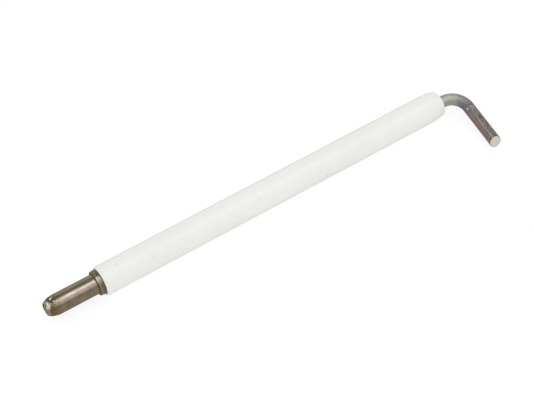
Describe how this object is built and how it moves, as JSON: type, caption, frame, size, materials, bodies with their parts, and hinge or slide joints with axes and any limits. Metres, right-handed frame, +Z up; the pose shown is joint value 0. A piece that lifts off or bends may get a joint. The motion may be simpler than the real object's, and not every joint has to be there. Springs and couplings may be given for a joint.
{
  "type": "flame sensor probe",
  "caption": "Burner flame sensor probe: a wire cemented through a white ceramic tube, bent over at the flame end, with a push-on terminal at the other.",
  "frame": {"origin": "middle of the whole object's footprint, on the surface that it lies on", "axes": "+X along the ceramic tube towards the flame end; -Y the way the bent leg points; +Z up from the surface"},
  "size_m": [0.0974, 0.0168, 0.006],
  "materials": {
    "ceramic": "smooth fired white alumina, satin",
    "wire": "drawn heat-resisting alloy, heat-tinted from grey to purple-brown",
    "terminal": "nickel-plated, tarnished",
    "braze": "braze metal, filed flush",
    "cement": "matt refractory cement"
  },
  "bodies": {
    "root": {"insulator_tube": "ceramic", "sensing_wire": "wire", "terminal_sleeve": "terminal", "tip_braze": "braze", "flame_end_cement": "cement", "terminal_end_cement": "cement"}
  },
  "joints": []
}
